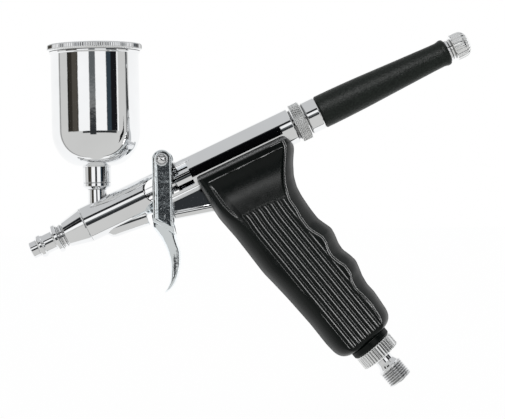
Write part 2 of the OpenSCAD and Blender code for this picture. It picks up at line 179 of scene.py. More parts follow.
def rounded(points, radius, steps=6):
    """A closed (x, z) outline with its corners rounded."""
    shift = 1000  # keeps the outline clear of the axis, where soften leaves corners alone
    moved = [(x + shift, z, own) for x, z, own in points]
    return [(x - shift, z) for x, z in soften(moved, radius, steps)]


def densify(profile, step, min_radius, min_x=-math.inf):
    """Splits the segments lying beyond both limits, for surfaces cut with a pattern."""
    out = []
    for i, p in enumerate(profile):
        q = profile[(i + 1) % len(profile)]
        out.append(p)
        if min(p[0], q[0]) > min_radius and min(p[1], q[1]) > min_x:
            pieces = int(math.dist(p, q) / step)
            for j in range(1, pieces):
                t = j / pieces
                out.append((p[0] + (q[0] - p[0]) * t, p[1] + (q[1] - p[1]) * t))
    return out


def revolve(profile, segs, pattern=None):
    """A closed list of (r, x) turned about +X; pattern(angle, x, r) returns a changed radius."""
    bm = bmesh.new()
    rings = []
    for r, x in profile:
        if r < 1e-6:
            rings.append([bm.verts.new((x, 0, 0))])
            continue
        ring = []
        for k in range(segs):
            angle = 2 * math.pi * k / segs
            radius = pattern(angle, x, r) if pattern else r
            ring.append(bm.verts.new((x, radius * math.cos(angle), radius * math.sin(angle))))
        rings.append(ring)
    for i, a in enumerate(rings):
        b = rings[(i + 1) % len(rings)]
        if len(a) == 1 and len(b) == 1:
            continue
        for k in range(segs):
            k2 = (k + 1) % segs
            if len(a) == 1:
                bm.faces.new((a[0], b[k], b[k2]))
            elif len(b) == 1:
                bm.faces.new((a[k], b[0], a[k2]))
            else:
                bm.faces.new((a[k], b[k], b[k2], a[k2]))
    return bm


def rod(x0, x1, r, segs=64):
    return revolve([(0, x0), (r, x0), (r, x1), (0, x1)], segs)


def loft(rings):
    """A capped skin over rings of equal point counts."""
    bm = bmesh.new()
    verts = [[bm.verts.new(p) for p in ring] for ring in rings]
    count = len(verts[0])
    for a, b in zip(verts, verts[1:]):
        for k in range(count):
            k2 = (k + 1) % count
            bm.faces.new((a[k], a[k2], b[k2], b[k]))
    bm.faces.new(list(reversed(verts[0])))
    bm.faces.new(verts[-1])
    return bm


def prism(outline, y0, y1):
    """A prism across Y from a closed list of (x, z)."""
    return loft([[(x, y, z) for x, z in outline] for y in (y0, y1)])


def moved(bm, matrix):
    bm.transform(matrix)
    return bm


def join(bms):
    out = bmesh.new()
    for bm in bms:
        mesh = bpy.data.meshes.new("tmp")
        bm.to_mesh(mesh)
        bm.free()
        out.from_mesh(mesh)
        bpy.data.meshes.remove(mesh)
    return out


def boolean(bm, unions=(), cuts=()):
    """Adds the unions to bm, then takes the cuts away, with the exact solver."""
    def solid(part, name):
        bmesh.ops.recalc_face_normals(part, faces=part.faces)
        return new_object(name, part)

    base = solid(bm, "bool_base")
    operations = [("UNION", part) for part in unions] + [("DIFFERENCE", part) for part in cuts]
    tools = []
    for i, (operation, part) in enumerate(operations):
        tools.append(solid(part, f"bool_{i}"))
        modifier = base.modifiers.new(f"b{i}", "BOOLEAN")
        modifier.operation = operation
        modifier.object = tools[-1]
        modifier.solver = "EXACT"
    depsgraph = bpy.context.evaluated_depsgraph_get()
    mesh = bpy.data.meshes.new_from_object(base.evaluated_get(depsgraph))
    out = bmesh.new()
    out.from_mesh(mesh)
    bpy.data.meshes.remove(mesh)
    for ob in [base] + tools:
        mesh = ob.data
        bpy.data.objects.remove(ob)
        bpy.data.meshes.remove(mesh)
    bmesh.ops.remove_doubles(out, verts=out.verts, dist=1e-5)
    return out


def smooth_table(table, count, width):
    """The table sampled finely and smoothed, so a surface built on it has no corners."""
    xs, ys = np.array(table, float).T
    grid = np.linspace(xs[0], xs[-1], count)
    values = np.interp(grid, xs, ys)
    k = max(1, int(width / ((xs[-1] - xs[0]) / (count - 1))))
    kernel = np.hanning(2 * k + 1)
    kernel /= kernel.sum()
    padded = np.concatenate([2 * values[0] - values[k:0:-1], values,
                             2 * values[-1] - values[-2:-k - 2:-1]])
    return grid, np.convolve(padded, kernel, "valid")


# ------------------------------------------------------------------ shader help
def feed(tree, socket, value):
    """Links a socket, or sets it to a plain value."""
    if isinstance(value, bpy.types.NodeSocket):
        tree.links.new(value, socket)
    else:
        socket.default_value = value


def add_node(tree, kind, inputs=None, **settings):
    node = tree.nodes.new("ShaderNode" + kind)
    for key, value in settings.items():
        setattr(node, key, value)
    for key, value in (inputs or {}).items():
        feed(tree, node.inputs[key], value)
    return node


def math_node(tree, operation, *values):
    return add_node(tree, "Math", dict(enumerate(values)), operation=operation).outputs[0]


def map_range(tree, value, start, end, to=(0.0, 1.0), kind="LINEAR"):
    inputs = {"Value": value, "From Min": start, "From Max": end, "To Min": to[0], "To Max": to[1]}
    return add_node(tree, "MapRange", inputs, interpolation_type=kind).outputs["Result"]


def noise(tree, coords, scale, detail=4.0, rough=0.6, stretch=None):
    if stretch:
        mapping = {"Vector": coords, "Scale": stretch}
        coords = add_node(tree, "Mapping", mapping).outputs["Vector"]
    inputs = {"Scale": scale, "Detail": detail, "Roughness": rough, "Vector": coords}
    return add_node(tree, "TexNoise", inputs).outputs["Fac"]


def ramp(tree, factor, *stops):
    """A ramp between two (position, colour or grey level) stops."""
    node = add_node(tree, "ValToRGB", {"Fac": factor})
    for element, (position, color) in zip(node.color_ramp.elements, stops):
        element.position = position
        element.color = (*color, 1) if isinstance(color, tuple) else (color, color, color, 1)
    return node.outputs["Color"]


def bump(tree, height, strength, distance, under=None):
    inputs = {"Strength": strength, "Distance": distance, "Height": height}
    if under is not None:
        inputs["Normal"] = under
    return add_node(tree, "Bump", inputs).outputs["Normal"]


def new_material(name):
    material = bpy.data.materials.new(name)
    material.use_nodes = True
    tree = material.node_tree
    return material, tree, tree.nodes["Principled BSDF"].inputs


# ------------------------------------------------------------------ materials
def metal(name, color, rough, waviness, painted_shade=0.10, grain=900.0, brushed=False, reach=0.0016):
    """Plated or bare metal: slight colour drift, smudged sheen and a fine waviness.

    Crevices and joints between parts, found within `reach` metres, are darkened as painted shade,
    down to the given shade level.
    """
    material, tree, shader = new_material(name)
    coords = add_node(tree, "TexCoord").outputs["Object"]
    shader["Metallic"].default_value = 1.0
    drift = noise(tree, coords, 45.0, detail=3.0)
    # painted shade: ambient occlusion darkens the colour in crevices and at the joints between
    # parts
    crevice = add_node(tree, "AmbientOcclusion", {"Distance": reach}, samples=8).outputs["AO"]
    low_color = tuple(c * 0.93 for c in color)
    tint = add_node(tree, "MixRGB", {
        "Fac": 1.0,
        "Color1": ramp(tree, drift, (0.3, low_color), (0.7, color)),
        "Color2": ramp(tree, crevice, (0.30, painted_shade), (0.78, 1.0)),
    }, blend_type="MULTIPLY")
    feed(tree, shader["Base Color"], tint.outputs["Color"])
    stretch = (1, 14, 1) if brushed else (1, 1, 1)
    fine = noise(tree, coords, grain, detail=6.0, rough=0.65, stretch=stretch)
    smudge = noise(tree, coords, 120.0, detail=5.0, rough=0.7)
    sheen = math_node(tree, "MULTIPLY", fine, smudge)
    feed(tree, shader["Roughness"], ramp(tree, sheen, (0.12, rough[0]), (0.5, rough[1])))
    waves = bump(tree, noise(tree, coords, 260.0, detail=2.0), waviness, 0.0004)
    feed(tree, shader["Normal"], bump(tree, fine, waviness * 0.6, 0.0001, under=waves))
    return material


def plastic(name, colors, rough, grain=2600.0, relief=0.12, specular=0.5, fleck=None,
            depth=0.00006):
    """Moulded plastic: fine grain, soft colour and sheen drift; `fleck` is a speckle scale."""
    material, tree, shader = new_material(name)
    coords = add_node(tree, "TexCoord").outputs["Object"]
    if fleck:
        patches = noise(tree, coords, fleck, detail=2.0, rough=0.5)
    else:
        patches = noise(tree, coords, 60.0)
    feed(tree, shader["Base Color"], ramp(tree, patches, (0.3, colors[0]), (0.72, colors[1])))
    sheen = noise(tree, coords, 300.0, detail=5.0, rough=0.65)
    feed(tree, shader["Roughness"], ramp(tree, sheen, (0.3, rough[0]), (0.7, rough[1])))
    shader["Specular IOR Level"].default_value = specular
    grains = bump(tree, noise(tree, coords, grain, detail=3.0), relief, depth)
    swell = noise(tree, coords, 420.0, detail=3.0)
    feed(tree, shader["Normal"], bump(tree, swell, relief * 0.5, 0.00012, under=grains))
    return material


GRIP_SPECULAR = 0.16


def dull_far_side(material):
    """Makes the grip's +Y side duller, so that the lamps don't blow it out from behind, and paints
    its base colour lighter there as painted light in place of the lost reflection.
    """
    tree = material.node_tree
    shader = tree.nodes["Principled BSDF"].inputs
    position = add_node(tree, "NewGeometry").outputs["Position"]
    y = add_node(tree, "SeparateXYZ", {0: position}).outputs["Y"]
    span = (-0.0055, -0.0015)  # world y over which the near look turns into the far one
    feed(tree, shader["Specular IOR Level"], map_range(tree, y, *span, to=(GRIP_SPECULAR, 0.004)))
    # painted light: the far side's base colour is lighter, standing in for the reflection taken
    # away
    color = add_node(tree, "Mix", {
        0: map_range(tree, y, *span),
        6: shader["Base Color"].links[0].from_socket,
        7: (0.0085, 0.0105, 0.0100, 1),
    }, data_type="RGBA")
    feed(tree, shader["Base Color"], color.outputs[2])
    near_rough = shader["Roughness"].links[0].from_socket
    extra = map_range(tree, y, *span, to=(0.0, 0.16))
    feed(tree, shader["Roughness"], math_node(tree, "ADD", near_rough, extra))


chrome = metal("chrome_plate", (0.93, 0.94, 0.95), rough=(0.03, 0.07), waviness=0.03)
trigger_plate = metal("trigger_plate", (0.90, 0.95, 0.975), rough=(0.05, 0.16), waviness=0.45,
                      grain=1500.0)
# the knurled chrome gets deeper painted shade in its grooves, over a shorter reach
knurled = metal("chrome_knurled", (0.95, 0.96, 0.96), rough=(0.06, 0.14), waviness=0.05,
                painted_shade=0.32, reach=0.0006)
chrome_soft = metal("chrome_plate_soft", (0.90, 0.91, 0.92), rough=(0.09, 0.16), waviness=0.06)
steel = metal("turned_steel", (0.72, 0.73, 0.74), rough=(0.16, 0.30), waviness=0.05, brushed=True)
spring_wire = metal("spring_wire", (0.60, 0.61, 0.63), rough=(0.2, 0.34), waviness=0.05)
brass = metal("turned_brass", (0.80, 0.62, 0.30), rough=(0.15, 0.3), waviness=0.05, brushed=True)
ptfe = plastic("sealing_plastic", ((0.82, 0.81, 0.77), (0.9, 0.89, 0.85)), rough=(0.4, 0.55),
               specular=0.4)
rubber = plastic("seal_rubber", ((0.012, 0.012, 0.012), (0.03, 0.03, 0.03)), rough=(0.55, 0.75),
                 grain=1800, relief=0.2, specular=0.35)
grip_mat = plastic("grip_plastic", ((0.0014, 0.0026, 0.0022), (0.0034, 0.0056, 0.0050)),
                   rough=(0.22, 0.30), relief=0.10, specular=GRIP_SPECULAR)
dull_far_side(grip_mat)
handle_mat = plastic("handle_sleeve", ((0.0026, 0.0046, 0.0034), (0.0145, 0.0195, 0.0160)),
                     rough=(0.31, 0.44), grain=1300.0, relief=0.7, specular=0.2, fleck=1500.0,
                     depth=0.0003)
slot_mat = {
    "chrome": chrome, "steel": steel, "spring_steel": spring_wire, "brass": brass, "ptfe": ptfe,
    "seal_rubber": rubber, "grip_plastic": grip_mat, "handle_coat": handle_mat,
}
slot_of = {s["node"]: s["material_slot"] for s in record["subparts"]}
for name, ob in product["nodes"].items():
    ob.data.materials.clear()
    ob.data.materials.append(slot_mat[slot_of[name]])


# ------------------------------------------------------------------ turned pieces
# Profiles are closed lists of (radius, x) or (radius, x, own corner radius).
def turned(node, profile, place=BARREL, segs=160, pattern=None, mat=None, body="gun",
           radius=0.15, dense=None, sharp=32.0):
    """A lathe piece; `dense` holds densify's step and limits."""
    points = soften(profile, radius)
    if dense:
        points = densify(points, *dense)
    slot = slot_of[node]
    bm = revolve(points, segs, pattern)
    return finish_piece(node, bm, mat or slot_mat[slot], place, sharp, body)


def clamp(value):
    return min(1.0, max(0.0, value))


def fade(x, start, end, run_in, run_out):
    """1 between start and end, falling to 0 at both."""
    return clamp((x - start) / run_in) * clamp((end - x) / run_out)


def triangle(v):
    """A triangle wave of period 1 from 0 up to 1."""
    v = v - math.floor(v)
    return 2 * v if v < 0.5 else 2 - 2 * v


# ------------------------------------------------------------------ nose
turned("needle_cap", [
    (2.2, 0), (2.75, 0), (3.15, 0.35), (3.15, 3.1), (2.6, 3.1), (2.6, 4.65), (1.9, 4.65),
    (1.9, 0.9)], radius=0.1)
turned("air_cap", [
    (2.62, 3.1), (3.9, 3.1, 0.3), (4.3, 3.7, 0.5), (4.3, 4.8, 0.4), (3.75, 5.3, 0.2),
    (3.6, 5.7, 0.3), (3.6, 9.5, 0.3), (4.6, 9.75), (5.4, 10.1, 0.3), (5.4, 11.25, 0.2),
    (5.15, 11.5, 0.1), (2.6, 11.5), (2.6, 6.2), (0.9, 5.6), (0.9, 4.7), (2.62, 4.7)], radius=0.12)
turned("head", [
    (1.22, 9.5), (2.55, 9.5), (2.55, 11.5), (4.4, 11.5), (4.4, 12.0), (4.05, 12.2), (4.05, 12.5),
    (4.5, 12.7), (4.5, 13.3), (4.1, 13.5), (4.1, 13.9), (4.9, 14.2, 0.25), (6.72, 22.25, 0.3),
    (6.5, 22.6, 0.08), (4.9, 22.6), (4.9, 25.0), (0.85, 25.0), (0.85, 13), (1.22, 13)],
    radius=0.08)

# ------------------------------------------------------------------ barrel
BORE_R, BORE_START, BORE_END = 4.65, 47.0, 103
NOSE_BORE_R, NOSE_BORE_END = 4.95, 25.6
NARROW_BORE_R = 2.0
LUG_R, LUG_HALF_WIDTH, LUG_FOOT_Z = 3.0, 6.9, 4.2
SCREW_HOLE_R = 1.6
WINDOW_X0, WINDOW_X1 = 47.0, 65.5
WINDOW_Z0, WINDOW_Z1 = -3.9, 5.0
BOSS_X, BOSS_Z, BOSS_TILT = 28.1, -5.03, 6.4  # start of the boss's axis, and degrees down


def build_barrel():
    base = revolve(soften([
        (NOSE_BORE_R, 22.6), (6.5, 22.6, 0.12), (6.75, 22.85, 0.15), (6.75, 65.5, 0),
        (6.7, 66.0, 0), (6.7, 107.0, 0.12), (6.45, 107.3, 0.1), (5.2, 107.3), (5.2, BORE_END),
        (BORE_R, BORE_END), (BORE_R, BORE_START), (NARROW_BORE_R, BORE_START),
        (NARROW_BORE_R, 41), (0.9, 41), (0.9, 35), (NARROW_BORE_R, 35),
        (NARROW_BORE_R, NOSE_BORE_END), (NOSE_BORE_R, NOSE_BORE_END)], 0.1), 192)
    cup_stem = revolve(soften([(0, 0), (3.4, 0), (3.4, 10.9), (3.3, 11.0), (0, 11.0)], 0.08), 96)
    # a long boss with a domed front end under the barrel
    boss = revolve(soften([
        (0, 0), (1.4, 0.12, 0.4), (2.5, 0.8, 0.8), (3.2, 1.8, 1.0), (3.55, 3.2, 1.2),
        (3.55, 16.05, 0.1), (3.4, 16.2, 0.1), (0, 16.2)], 0.2), 96)
    boss_tilt = Matrix.Rotation(math.radians(BOSS_TILT), 4, "Y")
    lug_outline = [(PIVOT_X + LUG_R * math.cos(t), PIVOT_Z + LUG_R * math.sin(t))
                   for t in np.linspace(0, math.pi, 33)]
    lug_outline += [(PIVOT_X - LUG_R, LUG_FOOT_Z), (PIVOT_X + LUG_R, LUG_FOOT_Z)]
    web = prism([(54.2, -5.4), (54.2, -10.87), (78, -17.0), (78, -5.4)], -1.6, 1.6)

    window = prism(rounded([
        (WINDOW_X0, WINDOW_Z0, 3.7), (WINDOW_X1, WINDOW_Z0, 0.3),
        (WINDOW_X1, WINDOW_Z1, 0.3), (WINDOW_X0, WINDOW_Z1, 3.7)], 0.3, 12), -12, 12)
    screw_place = Matrix.Translation((PIVOT_X, 0, PIVOT_Z)) @ X_TO_Y
    cup_hole = revolve([(0, 0), (1.6, 0), (1.6, 7.0), (2.62, 7.0), (2.62, 12), (0, 12)], 64)
    casing = revolve([(0, -6), (2.0, -6), (2.0, 18), (4.6, 18), (4.6, 40), (0, 40)], 64)
    # the bores are cut again to clear the added parts out of them
    bm = boolean(base, unions=(
        moved(cup_stem, CUP_IN_BARREL),
        moved(boss, Matrix.Translation((BOSS_X, 0, BOSS_Z)) @ boss_tilt),
        prism(lug_outline, -LUG_HALF_WIDTH, LUG_HALF_WIDTH),
        web,
    ), cuts=(
        rod(BORE_START + 0.01, BORE_END - 0.01, BORE_R, 192),
        rod(20, NOSE_BORE_END, NOSE_BORE_R, 192),
        rod(25.5, 36, NARROW_BORE_R),
        window,
        moved(rod(-8, 8, SCREW_HOLE_R), screw_place),
        moved(cup_hole, CUP_IN_BARREL),
        moved(casing, BARREL.inverted() @ VALVE),
    ))
    finish_piece("barrel", bm, chrome, BARREL, sharp=28.0)


build_barrel()

# ------------------------------------------------------------------ cup and lid
turned("cup_lock_ring", [
    (2.64, 11.0), (3.7, 11.0), (5.2, 12.1), (5.2, 13.15), (4.95, 13.4), (2.64, 13.4)],
    place=CUP_UP, radius=0.12)


def bowl(neck_radius, rim_x, width, depth, angles):
    """Points on a quarter ellipse from the neck out to the bowl's full width."""
    return [(neck_radius + width * math.sin(t), rim_x - depth * math.cos(t), 0) for t in angles]


turned("cup", [
    (1.5, 7.6), (2.6, 7.6), (2.6, 13.4), (5.0, 13.4), (5.2, 13.6), (5.2, 19.3, 0),
    *bowl(5.2, 32.8, 11.1, 13.2, np.linspace(0.02, math.pi / 2, 48)),
    (16.3, 60.8, 0.15), (16.8, 61.2, 0.2), (16.8, 61.7, 0.15), (16.6, 61.9, 0.08),
    (15.6, 61.9, 0.1),
    *bowl(4.4, 33.2, 11.2, 13.0, np.linspace(math.pi / 2, 0.0, 40)),
    (1.5, 17.4)], place=CUP_UP, segs=224, radius=0.1)


def lid_serration(angle, x, r):
    """130 grooves round the lid's edge, 0.30 deep."""
    return r - 0.30 * clamp((r - 16.9) / 0.5) * (0.5 + 0.5 * math.cos(130 * angle)) ** 0.7


turned("cup_lid", [
    (0.5, 64.2), (10, 64.32, 0), (16.4, 64.5, 0.3), (17.2, 64.4, 0.2), (17.5, 64.0, 0.15),
    (17.5, 62.7, 0.15), (17.1, 62.3, 0.15), (16.8, 61.95, 0.1), (15.54, 61.95), (15.54, 58.6),
    (14.9, 58.6), (14.9, 63.6), (0.5, 63.6)],
    place=CUP_UP, segs=1040, pattern=lid_serration, body="lid", radius=0.12)

# ------------------------------------------------------------------ trigger
# finger piece, from the top down: front point (x, z), rear point (x, z), half width
FINGER = [
    (-3.4, -22.9, 3.26, -22.9, 8.5), (-4.1, -24.6, 3.5, -24.4, 8.2), (-2.3, -27.3, 4.3, -27.1, 7.5),
    (-0.4, -30.3, 4.9, -30.3, 6.2), (1.1, -33.7, 5.8, -33.3, 5.3), (2.0, -37.0, 6.0, -36.3, 4.9),
    (2.2, -40.7, 5.8, -39.2, 4.7), (2.0, -44.4, 4.9, -42.9, 4.6), (1.2, -46.6, 3.8, -45.5, 4.3),
    (0.35, -48.1, 2.4, -47.4, 3.6), (-0.2, -48.9, 0.9, -48.7, 2.3)]
FINGER_SQUARENESS = 0.62  # exponent of the section: 1 is an ellipse, less is squarer
# arm, from the inner face outwards: insets of the front, rear and top edges, then y
ARM_LEVELS = [
    (0.35, 0.25, 0.25, 7.1), (0.08, 0.05, 0.05, 7.3), (0, 0, 0, 7.6), (0, 0, 0, 8.0),
    (0.10, 0.02, 0.02, 8.35), (0.30, 0.06, 0.06, 8.65), (0.62, 0.14, 0.14, 8.88),
    (1.0, 0.26, 0.28, 9.02), (1.35, 0.42, 0.45, 9.09), (1.62, 0.56, 0.58, 9.1),
    (1.85, 0.70, 0.72, 9.05), (2.0, 0.82, 0.84, 8.88), (2.08, 0.88, 0.90, 8.66),
    (2.12, 0.91, 0.93, 8.5)]
ARM_R = 3.6  # half width of an arm in side view
ARM_INNER_Y = 7.6
FOOT_Z, FOOT_SLOPE, FOOT_LIFT = -22.8, 0.6, 1.15  # lift is per mm of front inset
FOOT_REAR_SHIFT, FOOT_REAR_SCALE = 5.85, 0.85
FLARE_Z, FLARE = -23.4, 0.18  # below this height the rear edge leans back
NARROW_Z, NARROW_DEPTH, NARROWING = -23.0, 4.2, 0.154  # the arms draw in towards the foot
CROSS_PIN_X, CROSS_PIN_R, CROSS_PIN_GAP = 55.78, 1.2, 1.2  # x along the barrel


def catmull(points, count):
    """A Catmull-Rom curve through the points, sampled evenly."""
    p = np.array(points, float)
    p = np.vstack([2 * p[0] - p[1], p, 2 * p[-1] - p[-2]])
    spans = len(p) - 3
    out = []
    for i in range(count):
        t = i / (count - 1) * spans
        k = min(int(t), spans - 1)
        u = t - k
        a, b, c, d = p[k:k + 4]
        out.append(0.5 * ((2 * b) + (-a + c) * u + (2 * a - 5 * b + 4 * c - d) * u * u
                          + (-a + 3 * b - 3 * c + d) * u ** 3))
    return out


def squared(value):
    return math.copysign(abs(value) ** FINGER_SQUARENESS, value)


def finger_piece():
    rings = []
    for front_x, front_z, rear_x, rear_z, half_width in catmull(FINGER, 90):
        mid_x, mid_z = (front_x + rear_x) / 2, (front_z + rear_z) / 2
        half_x, half_z = (rear_x - front_x) / 2, (rear_z - front_z) / 2
        ring = []
        for k in range(64):
            angle = 2 * math.pi * (k + 0.5) / 64
            c, s = squared(math.cos(angle)), squared(math.sin(angle))
            ring.append((mid_x + half_x * c, half_width * s, mid_z + half_z * c))
        rings.append(ring)
    return loft(rings)


def arm_outline(front_inset, rear_inset, top_inset):
    """Side view of an arm: round top, straight edges and a slanting foot."""
    front_x, rear_x = -ARM_R + front_inset, ARM_R - rear_inset
    lift = FOOT_LIFT * front_inset
    mid_x, half_x, top_z = (front_x + rear_x) / 2, (rear_x - front_x) / 2, ARM_R - top_inset
    top = [(mid_x + half_x * math.cos(t), top_z * math.sin(t)) for t in np.linspace(0, math.pi, 41)]
    front_z = FOOT_Z + lift - FOOT_SLOPE * (front_x + ARM_R)
    rear_drop = FOOT_SLOPE * (rear_x - FOOT_REAR_SHIFT + ARM_R)
    rear_z = (FOOT_Z - rear_drop + lift) / FOOT_REAR_SCALE
    foot_x = rear_x + FLARE * (FLARE_Z - rear_z)
    front = [(front_x, z) for z in np.linspace(0, front_z, 20)[1:]]
    foot = [(front_x + (foot_x - front_x) * t, front_z + (rear_z - front_z) * t)
            for t in np.linspace(0, 1, 26)[1:]]
    rear = [(rear_x + FLARE * max(0.0, FLARE_Z - z), z) for z in np.linspace(rear_z, 0, 40)[1:-1]]
    return top + front + foot + rear


def trigger_arm(side):
    return loft([[(x, side * y * (1 - NARROWING * clamp((NARROW_Z - z) / NARROW_DEPTH)), z)
                  for x, z in arm_outline(*insets)] for *insets, y in ARM_LEVELS])


def build_trigger():
    parts = [finger_piece(), trigger_arm(-1), trigger_arm(1)]
    bridge = prism(rounded([(-7.98, -3.4, 0.5), (-5.78, -3.4, 0.3), (-5.78, 1.5, 0.3),
                            (-7.98, 1.5, 0.6)], 0.4), -ARM_INNER_Y, ARM_INNER_Y)
    parts.append(moved(bridge, PIVOT.inverted() @ VALVE))
    # two pins reaching in from the arms, with a gap between them
    pin_place = PIVOT.inverted() @ BARREL @ Matrix.Translation((CROSS_PIN_X, 0, 0)) @ X_TO_Y
    for y0, y1 in ((-ARM_INNER_Y, -CROSS_PIN_GAP), (CROSS_PIN_GAP, ARM_INNER_Y)):
        profile = [(0, y0), (CROSS_PIN_R, y0), (CROSS_PIN_R, y1), (0, y1)]
        parts.append(moved(revolve(soften(profile, 0.15), 48), pin_place))
    finish_piece("trigger", join(parts), trigger_plate, PIVOT, sharp=34.0, body="trigger")


def build_trigger_screw():
    """The pivot screw, with its slotted head on the near side."""
    shape = revolve(soften([
        (0, -9.2), (1.62, -9.2), (1.62, 9.15), (2.35, 9.15, 0.05), (2.4, 9.4, 0.1),
        (2.2, 9.85, 0.25), (1.95, 9.9, 0.2), (1.7, 9.55, 0.1), (1.5, 9.7, 0.1), (0.9, 9.95, 0),
        (0, 10.05)], 0.1, 5), 96)
    slot = prism([(9.75, -0.2), (11, -0.2), (11, 0.2), (9.75, 0.2)], -1.6, 1.6)
    bm = moved(boolean(shape, cuts=[slot]), Matrix.Rotation(math.radians(-35), 4, "X"))
    finish_piece("trigger_screw", bm, chrome_soft, PIVOT @ X_TO_MINUS_Y, sharp=30.0)


def build_trigger_nut():
    profile = [(1.62, 9.15), (2.4, 9.15), (2.4, 10.3), (2.15, 10.55), (1.62, 10.55)]
    bm = revolve(soften(profile, 0.1), 96)
    finish_piece("trigger_nut", bm, chrome_soft, PIVOT @ X_TO_Y, sharp=30.0)


build_trigger()
build_trigger_screw()
build_trigger_nut()

# ------------------------------------------------------------------ rear
turned("needle_sleeve", [
    (0.66, 57.0), (2.9, 57.0), (3.2, 57.3), (3.2, 59.0), (4.35, 59.0, 0.15), (4.6, 59.3, 0.15),
    (4.6, 74), (2.6, 74), (2.6, 102.6), (2.2, 103.4), (0.66, 103.4)], body="needle_train")


def diamond_knurl(angle, x, r):
    """44 crossing grooves each way, 0.40 deep, repeating every 1.04 along x."""
    if r < 6.9:
        return r
    turn, along = angle / (2 * math.pi) * 44, (x - 108) / 1.04
    groove = max(triangle(turn + along), triangle(turn - along)) ** 1.5
    return r - 0.40 * fade(x, 108.35, 112.15, 0.15, 0.15) * groove


turned("lock_ring", [
    (5.65, 108), (6.95, 108, 0.2), (7.3, 108.3, 0.1), (7.3, 112.2, 0.1), (6.95, 112.5, 0.2),
    (5.65, 112.5)],
    segs=528, pattern=diamond_knurl, body="lock_ring", mat=knurled, dense=(0.09, 7.2), sharp=60)
turned("rear_collar", [
    (4.0, 103.2), (5.15, 103.2), (5.15, 107.3), (5.6, 107.3), (5.6, 112.9), (5.9, 112.9, 0.2),
    (6.2, 113.3, 0.3), (6.2, 117.8, 0.3), (5.9, 118.2, 0.2), (4.4, 118.2), (4.4, 113.5),
    (4.0, 113.5)])
turned("handle_core", [
    (3.0, 113.5), (4.36, 113.5), (4.36, 120), (3.55, 120), (3.55, 170.4), (3.7, 170.4),
    (4.0, 170.7, 0.2), (4.0, 171.3, 0.2), (3.7, 171.6), (2.55, 171.6), (2.55, 155), (3.0, 155)])

# taper of the handle: x along the barrel, radius
HANDLE_TAPER = smooth_table([
    (118.8, 6.17), (121, 6.2), (126, 6.14), (130, 6.06), (135, 5.93), (139, 5.76), (145, 5.5),
    (152, 5.2), (159, 4.92), (164, 4.71), (167.4, 4.64)], 60, 3.0)
handle_ob = turned("handle", [
    (4.38, 118.4), (5.95, 118.4, 0.25), (6.2, 118.8, 0.25),
    *[(float(r), float(x), 0) for x, r in list(zip(*HANDLE_TAPER))[1:]],
    (4.74, 168.1, 0.3), (4.95, 168.8, 0.4), (5.0, 169.4, 0.4), (4.8, 170.1, 0.3),
    (4.45, 170.4, 0.15), (3.57, 170.4), (3.57, 120.05), (4.38, 120.05)])


def knob_flutes(angle, x, r):
    """20 flutes, 0.40 deep, running out over the dome."""
    if r < 3.0:
        return r
    return r - 0.40 * fade(x, 173.1, 179.3, 0.4, 1.6) * abs(math.cos(10 * angle)) ** 7


KNOB_DOME = [(4.9 * math.cos(t), 176.4 + 3.35 * math.sin(t), 0) for t in np.linspace(0.0, 1.45, 18)]
turned("stop_knob", [
    (0, 122), (1.2, 122), (1.2, 158), (2.5, 158.6), (2.5, 162.9), (2.0, 162.9), (2.0, 164.6),
    (2.5, 164.6), (2.5, 171.75), (3.75, 171.75), (4.0, 171.95), (4.0, 172.4), (3.55, 172.7),
    (4.75, 172.9, 0.15), (5.0, 173.2, 0.15), (5.0, 175.7, 0), (4.96, 176.1, 0),
    *KNOB_DOME, (0, 179.75)],
    segs=432, pattern=knob_flutes, body="stop_knob", mat=knurled, dense=(0.25, 4.8), sharp=50)

# ------------------------------------------------------------------ valve casing and grip end
turned("valve_casing", [
    (1.15, 0), (1.85, 0, 0.1), (2.0, 0.2, 0.1), (2.0, 18), (4.6, 18), (4.6, 36), (3.25, 36),
    (3.25, 22.5), (2.4, 22.5), (2.4, 20), (1.15, 20)], place=VALVE)
spacer_ob = turned("grip_spacer", [
    (3.65, 86.3), (7.5, 86.3, 0.2), (7.8, 86.7, 0.2), (7.8, 88.5, 0.2), (7.5, 88.9, 0.15),
    (3.65, 88.9)], place=GRIP, mat=grip_mat)


def ring_flutes(angle, x, r):
    """40 flutes, 0.55 deep."""
    if r < 7.0:
        return r
    groove = (0.5 + 0.5 * math.cos(40 * angle)) ** 3
    return r - 0.55 * fade(x, 89.2, 94.1, 0.3, 0.3) * groove


turned("grip_ring", [
    (3.65, 88.9), (7.25, 88.9, 0.15), (7.7, 89.3, 0.2), (7.7, 94.0, 0.2), (7.25, 94.4, 0.15),
    (5.0, 94.4), (5.0, 91.0), (3.65, 91.0)],
    place=GRIP, segs=480, pattern=ring_flutes, mat=knurled, dense=(0.3, 7.6), sharp=50)


def hose_thread(angle, x, r):
    """A single-start thread of 0.907 pitch, 0.56 deep."""
    if r < 4.35:
        return r
    phase = triangle((x / 0.907) - angle / (2 * math.pi))
    return r - 0.56 * fade(x, 98.9, 105.2, 0.4, 0.3) * clamp((phase - 0.12) / 0.76)


turned("hose_joint", [
    (1.9, 84.2), (2.7, 84.2), (2.7, 92.0), (4.9, 92.0), (4.9, 94.3), (4.6, 94.6), (3.45, 94.6),
    (3.3, 95.0), (3.3, 96.7, 0.4), (3.7, 97.6, 0.4), (4.1, 98.4, 0.1), (4.4, 98.5, 0.05),
    (4.86, 99.0, 0), (4.86, 105.0, 0), (4.4, 105.5, 0.05), (1.9, 105.5)],
    place=GRIP, segs=144, pattern=hose_thread, dense=(0.07, 4.38, 98.4), sharp=50)

